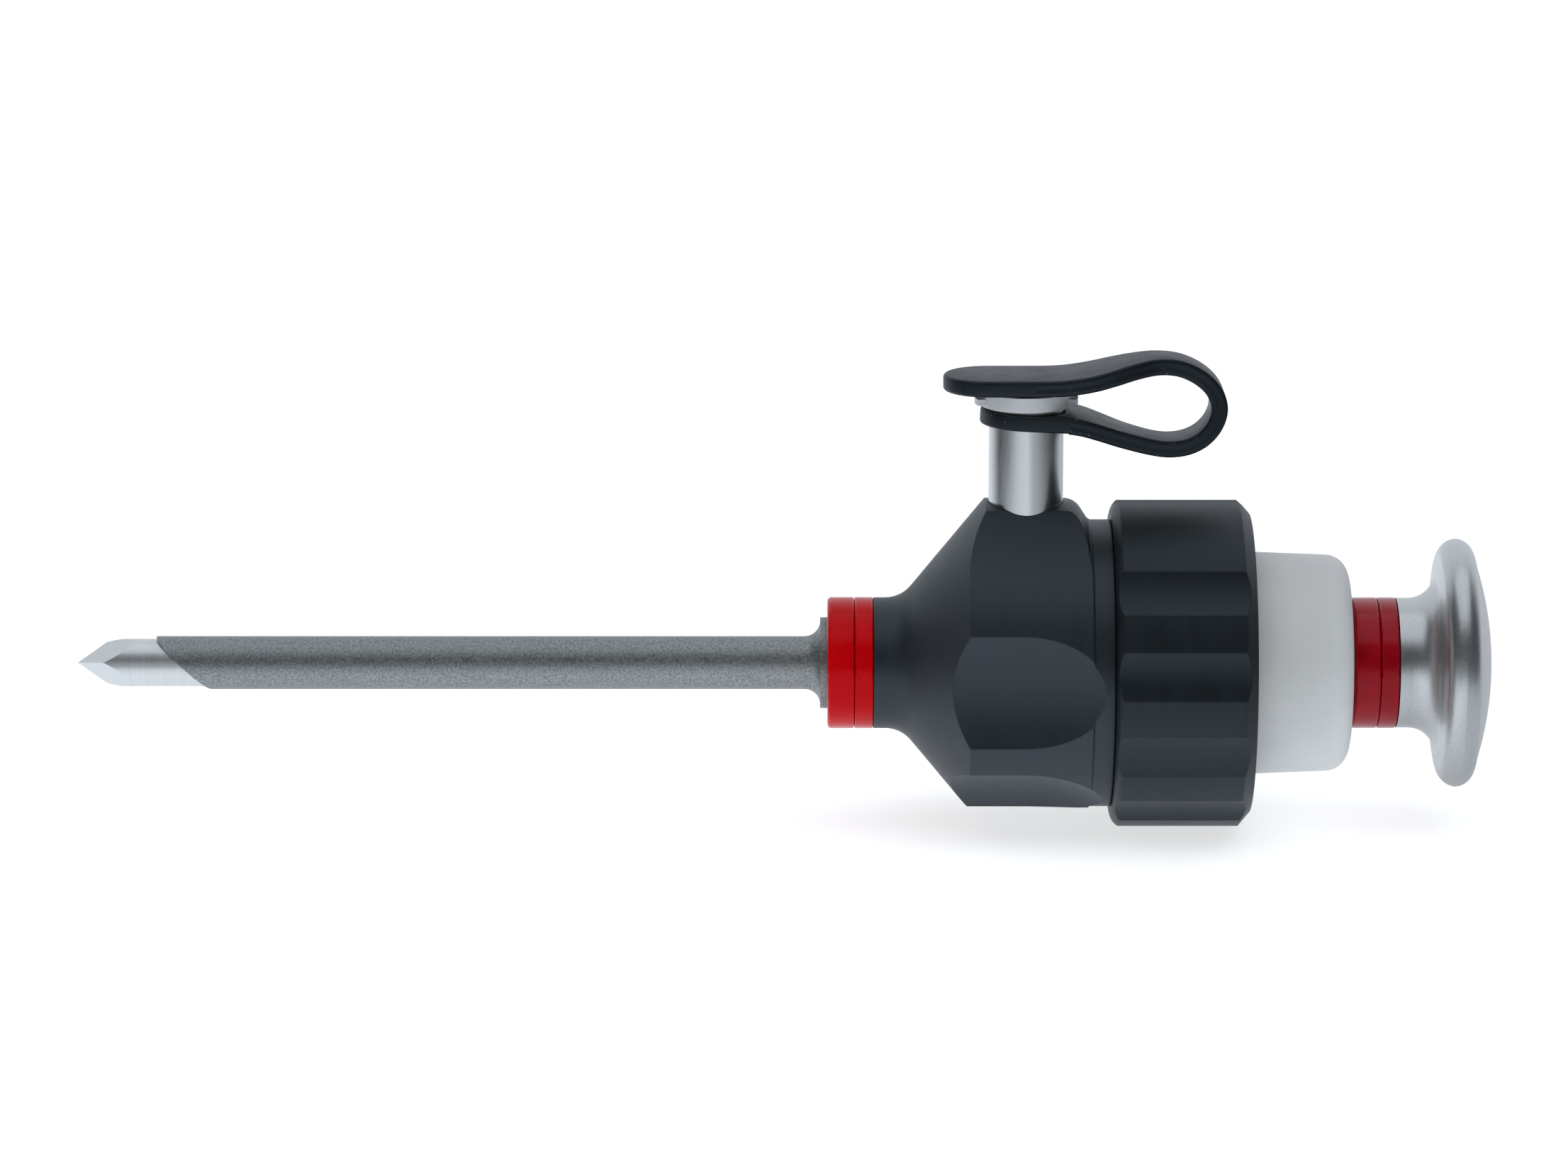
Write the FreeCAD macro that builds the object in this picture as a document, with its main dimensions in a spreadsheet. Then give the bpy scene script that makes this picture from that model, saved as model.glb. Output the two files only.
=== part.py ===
import FreeCAD, Part
import math
import os
import Sketcher

# Reusable trocar for keyhole surgery, all lengths in millimetres.
# +X runs along the instrument to the hand knob, -X to the sharp tip, +Z up the gas port.
# The origin lies on the instrument's axis where the thin tube leaves the hub.

SIZES = {
    # cannula tube
    "tube_radius": 1.95,
    "tube_bore": 1.80,
    "working_length": 47.55,
    "bevel_length": 4.05,
    "flare_radius": 1.15,
    "tube_seat_depth": 8.0,
    "tube_seat_radius": 1.93,
    "braze_gap": 0.02,
    # hub that carries the tube
    "hub_flange_radius": 3.34,
    "hub_flange_end": 1.67,
    "shank_radius": 3.0,
    "shank_end": 12.1,
    "guide_mouth": 2.7,
    "guide_depth": 2.2,
    "o_ring_place": 7.4,
    "o_ring_thickness": 0.36,
    "o_ring_groove": 0.70,
    "slip_gap": 0.03,
    # two red code rings in front of the housing
    "code_ring_radius": 4.83,
    "front_ring_width": 1.96,
    "back_ring_width": 1.36,
    "ring_line": 0.03,
    "ring_edge": 0.30,
    "ring_edge_small": 0.12,
    # lock nut inside the housing
    "nut_radius": 4.6,
    "nut_thickness": 1.9,
    "nut_seat": 10.0,
    "nut_slot": 0.9,
    "nut_slot_depth": 0.8,
    # black valve housing
    "nose_radius": 4.81,
    "cone_start": 7.06,
    "nose_sweep": 1.14,
    "housing_radius": 10.65,
    "housing_start": 11.96,
    "housing_end": 20.78,
    "neck_drop": 0.11,
    "neck_step": 0.15,
    "neck_end": 22.35,
    "thread_gap": 0.3,
    "spigot_end": 28.6,
    "spigot_chamfer": 0.3,
    "spigot_wall": 1.0,
    "chamber_step": 1.1,
    "chamber_start": 12.6,
    "chamber_taper": 1.0,
    "nut_recess_radius": 4.9,
    "mouth_start": 24.5,
    # raised land on the housing that carries the gas port
    "boss_radius": 12.12,
    "boss_half_width": 2.4,
    "boss_rear": 19.0,
    "boss_shoulder": 20.18,
    "boss_shoulder_share": 0.435,
    "boss_foot": 20.72,
    # finger scallops round the housing
    "scallop_depth": 1.54,
    "scallop_radius": 12.8,
    "scallop_run": 15.8,
    "scallop_pitch": 60.0,
    # gas port with its cone socket
    "port_place": 16.15,
    "port_radius": 2.73,
    "port_floor": 1.7,
    "port_top": 20.34,
    "port_bore": 1.5,
    "port_hole": 1.8,
    "socket_mouth": 2.14,
    "socket_depth": 3.6,
    "socket_taper": 0.108,
    "port_head_radius": 3.28,
    "port_head_height": 1.05,
    "port_head_cone": 0.20,
    "lug_radius": 3.77,
    "lug_bottom": 19.45,
    "lug_height": 0.45,
    "lug_half_width": 1.3,
    "port_fit_gap": 0.02,
    "gasket_height": 0.6,
    # inner leaflet valve and its ring
    "leaflet_flange": 1.0,
    "leaflet_wall": 0.7,
    "leaflet_skirt_gap": 1.9,
    "leaflet_tip": 18.0,
    "leaflet_slit": 0.12,
    "seat_ring_length": 2.9,
    "seat_ring_bore": 5.0,
    "seat_ring_land": 1.6,
    "insert_gap": 0.05,
    # white nozzle seal
    "seal_gap": 0.06,
    "seal_flange_gap": 0.6,
    "seal_flange_width": 1.5,
    "seal_slip": 0.13,
    "seal_draft": 0.22,
    "seal_shoulder": 38.2,
    "seal_corner": 1.65,
    "seal_wall": 1.77,
    "seal_cavity_end": 37.3,
    "seal_cavity_corner": 2.0,
    "seal_funnel_radius": 3.6,
    "seal_funnel_depth": 1.3,
    "washer_width": 0.8,
    # screw cap
    "cap_radius": 12.0,
    "cap_left": 22.43,
    "cap_right": 32.6,
    "cap_wall": 2.1,
    "cap_lip": 1.6,
    "cap_lip_width": 1.5,
    "cap_left_edge": 0.52,
    "cap_left_drop": 0.80,
    "cap_left_round": 1.3,
    "cap_right_chamfer": 0.85,
    "cap_right_drop": 1.0,
    "flute_depth": 0.41,
    "flute_radius": 5.6,
    "flute_pitch": 30.0,
    "first_flute": 142.1,
    # obturator, the sharp rod that fills the cannula
    "shaft_radius": 1.75,
    "tip_reach": 53.39,
    "tip_length": 4.12,
    "edge_roll": 12.5,
    "shaft_end": 47.0,
    "shaft_fit": 0.02,
    "rear_ring_left": 40.02,
    "rear_ring_radius": 4.80,
    "third_ring_width": 1.95,
    "fourth_ring_width": 1.34,
    "knob_left": 43.40,
    "knob_spigot": 3.2,
    "ring_bore_gap": 0.05,
    "thread_end": 2.6,
    "ring_nut_radius": 3.9,
    "ring_nut_width": 0.70,
    "ring_nut_inset": 0.14,
    "ring_nut_gap": 0.10,
    "knob_neck_radius": 4.77,
    "knob_flare_start": 44.3,
    "knob_flare": 2.0,
    "knob_under_step": 1.52,
    "knob_under_place": 46.45,
    "knob_inset": 2.88,
    "knob_widest": 47.8,
    "knob_rim_left": 1.46,
    "knob_rim_right": 1.33,
    "knob_dome_step": 1.32,
    "knob_dome_place": 49.05,
    "knob_dome": 23.9,
    "knob_end": 50.35,
    "lock_pin_radius": 0.5,
    "lock_pin_place": 42.5,
    "lock_pin_inset": 0.1,
    # port stopper with its eyelet and strap
    "eyelet_radius": 3.38,
    "eyelet_gap": 0.12,
    "eyelet_bottom": 18.05,
    "eyelet_height": 1.0,
    "plug_fit": 0.10,
    "plug_length": 3.3,
    "tab_gap": 0.06,
    "tab_thickness": 1.2,
    "tab_half_width": 3.4,
    "tab_reach": 6.07,
    "tab_wide_end": 1.0,
    "tab_end": 3.0,
    "tab_edge": 0.22,
    "strap_width": 4.2,
    "strap_thickness": 1.15,
    "strap_gap": 0.05,
}

# How far a cut reaches past the material.
SPARE = 1.0

# Length of the construction line that a sketch is turned about.
AXIS_LENGTH = 10.0

# Finger scallops, and the cap's flutes, which leave one of twelve places plain.
SCALLOPS = 4
FLUTES = 11

# Share by which the land's flats are cut on beyond its edge, to clear the turned surface.
FLAT_OVERRUN = 0.3

# The strap's centre line from the tab to the eyelet: reach from the port's axis, height.
STRAP_LINE = [
    (2.70, 20.94), (6.2, 21.80), (9.43, 22.40), (12.25, 21.75), (13.9, 19.95),
    (13.5, 17.83), (11.68, 16.55), (8.94, 16.60), (5.07, 17.60), (2.6, 18.35),
]

# Places along the centre line at which the strap's two faces are set off from it.
STRAP_STATIONS = 28


class Size:
    """A length with its number and the sheet's words for it."""

    def __init__(self, number, text):
        self.number = number
        self.text = text

    def combine(self, other, sign, number):
        words = other.text if isinstance(other, Size) else repr(other)
        return Size(number, "(" + self.text + " " + sign + " " + words + ")")

    def __add__(self, other):
        return self.combine(other, "+", self.number + as_number(other))

    def __sub__(self, other):
        return self.combine(other, "-", self.number - as_number(other))

    def __mul__(self, other):
        return self.combine(other, "*", self.number * as_number(other))

    def __truediv__(self, other):
        return self.combine(other, "/", self.number / as_number(other))

    def __neg__(self):
        return Size(-self.number, "(-1 * " + self.text + ")")

    def root(self):
        return Size(math.sqrt(self.number), "sqrt(" + self.text + ")")


def as_number(value):
    return value.number if isinstance(value, Size) else value


def write_sheet(doc):
    sheet = doc.addObject("Spreadsheet::Sheet", "Sizes")
    for row, (name, number) in enumerate(SIZES.items(), start=1):
        sheet.set(f"A{row}", name)
        sheet.set(f"B{row}", str(number))
        sheet.setAlias(f"B{row}", name)
    doc.recompute()
    return sheet


class Sheet:
    """Every size of the sheet by its name, with the radii that follow from them."""

    def __init__(self, sheet):
        for name in SIZES:
            setattr(self, name, Size(float(sheet.get(name)), "Sizes." + name))
        self.neck_radius = self.housing_radius - self.neck_drop
        self.scallop_floor = self.housing_radius - self.scallop_depth
        self.boss_height = self.boss_radius - self.housing_radius
        self.flute_floor = self.cap_radius - self.flute_depth
        self.cap_bore = self.cap_radius - self.cap_wall
        self.cap_lip_bore = self.cap_bore - self.cap_lip
        self.spigot_radius = self.cap_bore - self.thread_gap
        self.mouth_radius = self.spigot_radius - self.spigot_wall
        self.chamber_radius = self.mouth_radius - self.chamber_step
        self.port_bottom = self.chamber_radius + self.port_floor
        self.leaflet_skirt_radius = self.chamber_radius - self.leaflet_skirt_gap
        self.seat_ring_funnel = self.mouth_radius - self.seat_ring_land
        self.seal_flange_radius = self.cap_bore - self.seal_flange_gap
        self.seal_root_radius = self.cap_lip_bore - self.seal_slip
        self.seal_nose_radius = self.seal_root_radius - self.seal_draft
        self.seal_face_radius = self.seal_nose_radius - self.seal_corner
        self.seal_face = self.seal_shoulder + self.seal_corner
        self.seal_cavity_radius = self.seal_root_radius - self.seal_wall
        self.knob_radius = self.cap_radius - self.knob_inset
        self.knob_under = self.knob_radius - self.knob_under_step
        self.knob_dome_edge = self.knob_radius - self.knob_dome_step
        self.tab_bottom = self.port_top + self.tab_gap


def new_body(doc, label):
    body = doc.addObject("PartDesign::Body", label)
    body.Label = label
    return body


def new_sketch(body, name, role):
    sketch = body.newObject("Sketcher::SketchObject", name)
    plane = [item for item in body.Origin.OriginFeatures if item.Role == role][0]
    sketch.AttachmentSupport = [(plane, "")]
    sketch.MapMode = "FlatFace"
    return sketch


def tie(sketch, kind, geometry, point, size):
    """Holds one coordinate of a sketch point to a size."""
    number = as_number(size)
    if number == 0 and not isinstance(size, Size):
        axis = -2 if kind == "DistanceX" else -1
        sketch.addConstraint(Sketcher.Constraint("PointOnObject", geometry, point, axis))
        return
    held = sketch.addConstraint(Sketcher.Constraint(kind, -1, 1, geometry, point, number))
    if isinstance(size, Size):
        sketch.setExpression(f"Constraints[{held}]", size.text)


def arc_between(start, end, radius, side):
    """The short arc from start to end, its centre on the left (side 1) or the right (-1)."""
    chord = end - start
    half = chord.Length / 2
    rise = math.sqrt(max(radius * radius - half * half, 0))
    across = FreeCAD.Vector(-chord.y, chord.x, 0).normalize() * (rise * side)
    centre = (start + end) * 0.5 + across
    first, last = (start, end) if side > 0 else (end, start)
    angles = [math.atan2(p.y - centre.y, p.x - centre.x) for p in (first, last)]
    circle = Part.Circle(centre, FreeCAD.Vector(0, 0, 1), radius)
    return Part.ArcOfCircle(circle, angles[0], angles[1])


def draw_outline(sketch, corners, arcs=None):
    """Closed outline through the corners; arcs gives (radius, side) for a side by its number."""
    arcs = arcs or {}
    points = [FreeCAD.Vector(as_number(x), as_number(y), 0) for x, y in corners]
    ends = []
    for index, start in enumerate(points):
        end = points[(index + 1) % len(points)]
        if index in arcs:
            radius, side = arcs[index]
            line = sketch.addGeometry(arc_between(start, end, as_number(radius), side), False)
            ends.append((line, 1, 2) if side > 0 else (line, 2, 1))
        else:
            line = sketch.addGeometry(Part.LineSegment(start, end), False)
            ends.append((line, 1, 2))
    for index, (line, first, last) in enumerate(ends):
        after, after_first, _ = ends[(index + 1) % len(ends)]
        sketch.addConstraint(Sketcher.Constraint("Coincident", line, last, after, after_first))
        tie(sketch, "DistanceX", line, first, corners[index][0])
        tie(sketch, "DistanceY", line, first, corners[index][1])
    for index, (radius, _) in arcs.items():
        held = sketch.addConstraint(
            Sketcher.Constraint("Radius", ends[index][0], as_number(radius)))
        if isinstance(radius, Size):
            sketch.setExpression(f"Constraints[{held}]", radius.text)


def draw_circle(sketch, place, height, radius):
    """Circle with its centre and its radius held to sizes."""
    centre = FreeCAD.Vector(as_number(place), as_number(height), 0)
    shape = Part.Circle(centre, FreeCAD.Vector(0, 0, 1), radius.number)
    circle = sketch.addGeometry(shape, False)
    tie(sketch, "DistanceX", circle, 3, place)
    tie(sketch, "DistanceY", circle, 3, height)
    held = sketch.addConstraint(Sketcher.Constraint("Radius", circle, radius.number))
    sketch.setExpression(f"Constraints[{held}]", radius.text)


def draw_axis(sketch, place, upright=True):
    """A construction line to turn about, at one coordinate of the sketch."""
    number = as_number(place)
    first = FreeCAD.Vector(number, 0, 0) if upright else FreeCAD.Vector(0, number, 0)
    along = FreeCAD.Vector(0, AXIS_LENGTH, 0) if upright else FreeCAD.Vector(AXIS_LENGTH, 0, 0)
    line = sketch.addGeometry(Part.LineSegment(first, first + along), True)
    sketch.addConstraint(Sketcher.Constraint("Vertical" if upright else "Horizontal", line))
    tie(sketch, "DistanceX" if upright else "DistanceY", line, 1, place)
    tie(sketch, "DistanceY" if upright else "DistanceX", line, 1, 0)
    sketch.addConstraint(Sketcher.Constraint("Distance", line, AXIS_LENGTH))
    return "Axis0"


def turn(body, kind, name, sketch, axis="H_Axis"):
    """A full turn of a sketch, added (Revolution) or taken away (Groove)."""
    feature = body.newObject(kind, name)
    feature.Profile = (sketch, [""])
    feature.ReferenceAxis = (sketch, [axis])
    feature.Angle = 360
    sketch.Visibility = False
    return feature


def turned_body(doc, label, corners, arcs=None):
    """A piece turned about the instrument's axis."""
    body = new_body(doc, label)
    sketch = new_sketch(body, label + "_profile", "XZ_Plane")
    draw_outline(sketch, corners, arcs)
    turn(body, "PartDesign::Revolution", label + "_turned", sketch)
    return body


def upright_body(doc, label, place, corners):
    """A piece turned about the port's axis; its corners are radius and height."""
    body = new_body(doc, label)
    sketch = new_sketch(body, label + "_profile", "XZ_Plane")
    draw_outline(sketch, [(place + radius, height) for radius, height in corners])
    axis = draw_axis(sketch, place)
    turn(body, "PartDesign::Revolution", label + "_turned", sketch, axis)
    return body


def cut_through(body, name, sketch, length):
    """A cut to both sides of its sketch."""
    pocket = body.newObject("PartDesign::Pocket", name)
    pocket.Profile = (sketch, [""])
    pocket.Midplane = True
    pocket.setExpression("Length", length.text)
    sketch.Visibility = False
    return pocket


def both_sides(reach):
    """Length of a cut that passes a reach on each side."""
    return (reach + SPARE) * 2


def repeat_round(body, name, feature, count, angle):
    """Copies of a feature round the instrument's axis, spread over an angle in degrees."""
    pattern = body.newObject("PartDesign::PolarPattern", name)
    axis = [item for item in body.Origin.OriginFeatures if item.Role == "X_Axis"][0]
    pattern.Originals = [feature]
    pattern.Axis = (axis, [""])
    pattern.Occurrences = count
    if isinstance(angle, Size):
        pattern.setExpression("Angle", angle.text)
    else:
        pattern.Angle = angle
    body.Tip = pattern
    return pattern


def edges_where(shape, test):
    """Names of the edges whose middle point passes the test."""
    names = []
    for number, edge in enumerate(shape.Edges, start=1):
        if test(edge.valueAt((edge.FirstParameter + edge.LastParameter) / 2)):
            names.append(f"Edge{number}")
    return names


def round_edges(doc, body, name, base, test, radius):
    doc.recompute()
    fillet = body.newObject("PartDesign::Fillet", name)
    fillet.Base = (base, edges_where(base.Shape, test))
    fillet.setExpression("Radius", radius.text)
    return fillet


def near(value, size, room=0.02):
    return abs(value - as_number(size)) < room


def cannula_tube(doc, s):
    """Thin tube with its flared collar; the far end is cut to a bevel, long side up."""
    tip = -s.working_length
    body = turned_body(doc, "cannula_tube", [
        (tip, s.tube_bore), (tip, s.tube_radius), (0, s.tube_radius),
        (s.flare_radius, s.tube_radius + s.flare_radius), (s.flare_radius, s.tube_seat_radius),
        (s.tube_seat_depth, s.tube_seat_radius), (s.tube_seat_depth, s.tube_bore),
    ], {2: (s.flare_radius, 1)})
    bevel = new_sketch(body, "bevel_outline", "XZ_Plane")
    top = s.tube_radius
    below = -(s.tube_radius + SPARE)
    heel = tip + s.bevel_length * (top - below) / (top * 2)
    draw_outline(bevel, [(tip, top), (tip - SPARE, top), (tip - SPARE, below), (heel, below)])
    cut_through(body, "bevel_cut", bevel, both_sides(s.tube_radius))
    return body


def cannula_hub(doc, s):
    """Steel hub: flange, shank through the housing and a funnel that guides instruments."""
    bore = s.tube_seat_radius + s.braze_gap
    floor = s.shank_radius - s.o_ring_groove
    half = s.o_ring_groove / 2 + s.slip_gap
    return turned_body(doc, "cannula_hub", [
        (s.flare_radius, bore), (s.flare_radius, s.hub_flange_radius),
        (s.hub_flange_end, s.hub_flange_radius), (s.hub_flange_end, s.shank_radius),
        (s.o_ring_place - half, s.shank_radius), (s.o_ring_place - half, floor),
        (s.o_ring_place + half, floor), (s.o_ring_place + half, s.shank_radius),
        (s.shank_end, s.shank_radius), (s.shank_end, s.guide_mouth),
        (s.shank_end - s.guide_depth, s.tube_bore), (s.tube_seat_depth, s.tube_bore),
        (s.tube_seat_depth, bore),
    ])


def ring(doc, label, left, width, bore, radius, left_edge, right_edge):
    """A plain ring with its two outer edges rounded."""
    right = left + width
    return turned_body(doc, label, [
        (left, bore), (left, radius - left_edge), (left + left_edge, radius),
        (right - right_edge, radius), (right, radius - right_edge), (right, bore),
    ], {1: (left_edge, -1), 3: (right_edge, -1)})


def front_code_rings(doc, s):
    bore = s.shank_radius + s.slip_gap
    ring(doc, "hub_code_ring_front", s.hub_flange_end, s.front_ring_width, bore,
         s.code_ring_radius, s.ring_edge, s.ring_edge_small)
    second = s.hub_flange_end + s.front_ring_width + s.ring_line
    ring(doc, "hub_code_ring_back", second, s.back_ring_width, bore,
         s.code_ring_radius, s.ring_edge_small, s.ring_edge_small)
    return second + s.back_ring_width


def hub_o_ring(doc, s):
    """Rubber ring that seals the shank in the nose of the housing."""
    body = new_body(doc, "hub_o_ring")
    sketch = new_sketch(body, "o_ring_section", "XZ_Plane")
    middle = s.shank_radius - s.o_ring_thickness + s.slip_gap / 2
    draw_circle(sketch, s.o_ring_place, middle, s.o_ring_thickness)
    turn(body, "PartDesign::Revolution", "o_ring_turned", sketch)
    return body


def hub_lock_nut(doc, s):
    """Ring nut that pulls the hub into the housing, with two slots for its key."""
    bore = s.shank_radius + s.slip_gap
    end = s.nut_seat + s.nut_thickness
    body = turned_body(doc, "hub_lock_nut", [
        (s.nut_seat, bore), (s.nut_seat, s.nut_radius), (end, s.nut_radius), (end, bore),
    ])
    slot = new_sketch(body, "key_slot", "XZ_Plane")
    floor = end - s.nut_slot_depth
    above = s.nut_radius + SPARE
    draw_outline(slot, [
        (floor, -above), (end + SPARE, -above), (end + SPARE, above), (floor, above),
    ])
    cut_through(body, "key_slots", slot, s.nut_slot)
    return body


def housing_outside(body, s, nose):
    """Turned outside; the nose sweeps into the cone on an arc tangent to both."""
    run = s.housing_start - s.cone_start
    rise = s.housing_radius - s.nose_radius
    slant = (run * run + rise * rise).root()
    sweep = s.nose_sweep
    sweep_radius = sweep * (slant + run) / rise
    front = s.housing_start + s.boss_height * run / rise
    back = s.boss_shoulder - s.boss_rear
    drop = s.boss_height * s.boss_shoulder_share
    back_radius = (back * back + drop * drop) / (drop * 2)
    sketch = new_sketch(body, "housing_profile", "XZ_Plane")
    draw_outline(sketch, [
        (nose, 0), (nose, s.nose_radius), (s.cone_start - sweep, s.nose_radius),
        (s.cone_start + sweep * run / slant, s.nose_radius + sweep * rise / slant),
        (front, s.boss_radius), (s.boss_rear, s.boss_radius),
        (s.boss_shoulder, s.boss_radius - drop), (s.boss_foot, s.housing_radius),
        (s.housing_end, s.housing_radius), (s.housing_end + s.neck_step, s.neck_radius),
        (s.neck_end, s.neck_radius), (s.neck_end, s.spigot_radius),
        (s.spigot_end - s.spigot_chamfer, s.spigot_radius),
        (s.spigot_end, s.spigot_radius - s.spigot_chamfer), (s.spigot_end, 0),
    ], {2: (sweep_radius, 1), 5: (back_radius, -1)})
    turn(body, "PartDesign::Revolution", "housing_turned", sketch)


def housing_boss(body, s):
    """All round the drum is turned down; flats tangent to it run up to the port's land."""
    top, drum, edge = s.boss_radius, s.housing_radius, s.boss_half_width
    edge_height = (top * top - edge * edge).root()
    reach = (top * top - drum * drum).root()
    foot = (drum * drum * edge + drum * reach * edge_height) / (top * top)
    foot_height = (drum * drum * edge_height - drum * reach * edge) / (top * top)
    out = edge * (1 + FLAT_OVERRUN) - foot * FLAT_OVERRUN
    out_height = edge_height * (1 + FLAT_OVERRUN) - foot_height * FLAT_OVERRUN
    around = (out * out + out_height * out_height).root()
    sketch = new_sketch(body, "drum_section", "YZ_Plane")
    sketch.AttachmentOffset = FreeCAD.Placement(
        FreeCAD.Vector(0, 0, s.housing_start.number), FreeCAD.Rotation())
    sketch.setExpression("AttachmentOffset.Base.z", s.housing_start.text)
    draw_outline(sketch, [
        (out, out_height), (foot, foot_height), (0, -drum), (-foot, foot_height),
        (-out, out_height), (0, -around),
    ], {1: (drum, -1), 2: (drum, -1), 4: (around, 1), 5: (around, 1)})
    cut = body.newObject("PartDesign::Pocket", "drum_cut")
    cut.Profile = (sketch, [""])
    cut.Reversed = True
    cut.setExpression("Length", (s.housing_end - s.housing_start).text)
    sketch.Visibility = False


def housing_scallops(body, s):
    """Ball-ended hollows for the fingers, on the side and underneath, none beside the port."""
    axis_place = s.scallop_floor + s.scallop_radius
    sketch = new_sketch(body, "scallop_profile", "XY_Plane")
    far = -axis_place
    draw_outline(sketch, [
        (s.cone_start, far), (s.scallop_run + s.scallop_radius, far),
        (s.scallop_run, far + s.scallop_radius), (s.cone_start, far + s.scallop_radius),
    ], {1: (s.scallop_radius, 1)})
    axis = draw_axis(sketch, far, upright=False)
    groove = turn(body, "PartDesign::Groove", "scallop_cut", sketch, axis)
    return repeat_round(body, "scallops", groove, SCALLOPS, s.scallop_pitch * (SCALLOPS - 1))


def housing_inside(body, s, nose):
    """Bore for the shank, recess for its nut, the chamber, the valve's mouth, the port's hole."""
    bore = s.shank_radius + s.slip_gap * 2
    sketch = new_sketch(body, "chamber_profile", "XZ_Plane")
    draw_outline(sketch, [
        (nose - SPARE, 0), (nose - SPARE, bore), (s.nut_seat, bore),
        (s.nut_seat, s.nut_recess_radius), (s.chamber_start, s.nut_recess_radius),
        (s.chamber_start + s.chamber_taper, s.chamber_radius), (s.mouth_start, s.chamber_radius),
        (s.mouth_start, s.mouth_radius), (s.spigot_end + SPARE, s.mouth_radius),
        (s.spigot_end + SPARE, 0),
    ])
    turn(body, "PartDesign::Groove", "chamber_cut", sketch)
    port = new_sketch(body, "port_hole_profile", "XZ_Plane")
    seat = s.port_bottom - s.gasket_height
    wide = s.port_radius + s.port_fit_gap
    place = s.port_place
    low = s.chamber_radius - SPARE
    high = s.boss_radius + SPARE
    draw_outline(port, [
        (place, low), (place + s.port_hole, low), (place + s.port_hole, seat),
        (place + wide, seat), (place + wide, high), (place, high),
    ])
    turn(body, "PartDesign::Groove", "port_hole", port, draw_axis(port, place))


def valve_housing(doc, s, nose):
    """Black housing: nose, cone, scalloped drum with the port's land, threaded spigot."""
    body = new_body(doc, "valve_housing")
    housing_outside(body, s, nose)
    housing_boss(body, s)
    housing_scallops(body, s)
    housing_inside(body, s, nose)
    return body


def luer_port(doc, s):
    """Steel port tube: cone socket in its head, two lock lugs left and right, open bore."""
    top = s.port_top
    low = s.socket_mouth - s.socket_taper
    floor = top - s.socket_depth
    head = top - s.port_head_height
    lug_top = s.lug_bottom + s.lug_height
    body = upright_body(doc, "luer_port", s.port_place, [
        (s.port_bore, s.port_bottom), (s.port_radius, s.port_bottom),
        (s.port_radius, head - s.port_head_cone), (s.port_head_radius, head),
        (s.port_head_radius, s.lug_bottom), (s.lug_radius, s.lug_bottom), (s.lug_radius, lug_top),
        (s.port_head_radius, lug_top), (s.port_head_radius, top), (s.socket_mouth, top),
        (low, floor), (s.port_bore, floor),
    ])
    lug_cut(body, "front_cut", s, -1)
    lug_cut(body, "back_cut", s, 1)
    return body


def lug_cut(body, name, s, side):
    """Takes the lock rim down to the head on the front (-1) or the back (1)."""
    width = s.lug_half_width
    head = s.port_head_radius
    inner = (head * head - width * width).root()
    far = s.lug_radius + SPARE
    place = s.port_place
    sketch = new_sketch(body, name + "_outline", "XY_Plane")
    draw_outline(sketch, [
        (place - inner, width * side), (place + inner, width * side),
        (place + far, width * side), (place + far, far * side), (place - far, far * side),
        (place - far, width * side),
    ], {0: (head, -side)})
    cut_through(body, name, sketch, both_sides(s.port_top))


def port_gasket(doc, s):
    """Flat rubber ring under the foot of the port tube."""
    bottom = s.port_bottom - s.gasket_height
    outer = s.port_radius - s.port_fit_gap
    return upright_body(doc, "port_gasket", s.port_place, [
        (s.port_hole, bottom), (outer, bottom), (outer, s.port_bottom),
        (s.port_hole, s.port_bottom),
    ])


def leaflet_valve(doc, s):
    """Soft funnel that closes behind the rod: flange, skirt and crossed slits."""
    outer = s.mouth_radius - s.insert_gap
    left = s.mouth_start
    right = left + s.leaflet_flange
    skirt = s.leaflet_skirt_radius
    tip = s.leaflet_tip
    hole = s.tube_bore
    body = turned_body(doc, "leaflet_valve", [
        (right, skirt - s.leaflet_wall), (right, outer), (left, outer), (left, skirt),
        (tip, hole + s.leaflet_wall), (tip, hole), (tip + s.leaflet_wall, hole),
    ])
    slit = new_sketch(body, "slit_outline", "XZ_Plane")
    slit_end = (tip + left) / 2
    draw_outline(slit, [
        (tip - SPARE, -skirt), (slit_end, -skirt), (slit_end, skirt), (tip - SPARE, skirt),
    ])
    cut = cut_through(body, "slit_cut", slit, s.leaflet_slit)
    repeat_round(body, "crossed_slits", cut, 2, 90)
    return body


def valve_seat_ring(doc, s):
    """Ring that holds the leaflet valve in the mouth of the housing and guides instruments."""
    left = s.mouth_start + s.leaflet_flange
    right = left + s.seat_ring_length
    outer = s.mouth_radius - s.insert_gap
    return turned_body(doc, "valve_seat_ring", [
        (left, s.seat_ring_bore), (left, outer), (right, outer), (right, s.seat_ring_funnel),
        (left + s.leaflet_flange, s.seat_ring_bore),
    ])


def nozzle_seal(doc, s):
    """White silicone nozzle: flange under the cap, hollow body, lip that grips the rod."""
    left = s.spigot_end + s.seal_gap
    right = left + s.seal_flange_width
    hole = s.tube_bore
    return turned_body(doc, "nozzle_seal", [
        (left, s.seal_cavity_radius), (left, s.seal_flange_radius),
        (right, s.seal_flange_radius), (right, s.seal_root_radius),
        (s.cap_right, s.seal_root_radius), (s.seal_shoulder, s.seal_nose_radius),
        (s.seal_face, s.seal_face_radius), (s.seal_face, s.seal_funnel_radius),
        (s.seal_face - s.seal_funnel_depth, hole), (s.seal_cavity_end, hole),
        (s.seal_cavity_end, s.seal_cavity_radius - s.seal_cavity_corner),
        (s.seal_cavity_end - s.seal_cavity_corner, s.seal_cavity_radius),
    ], {5: (s.seal_corner, -1)})


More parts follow.
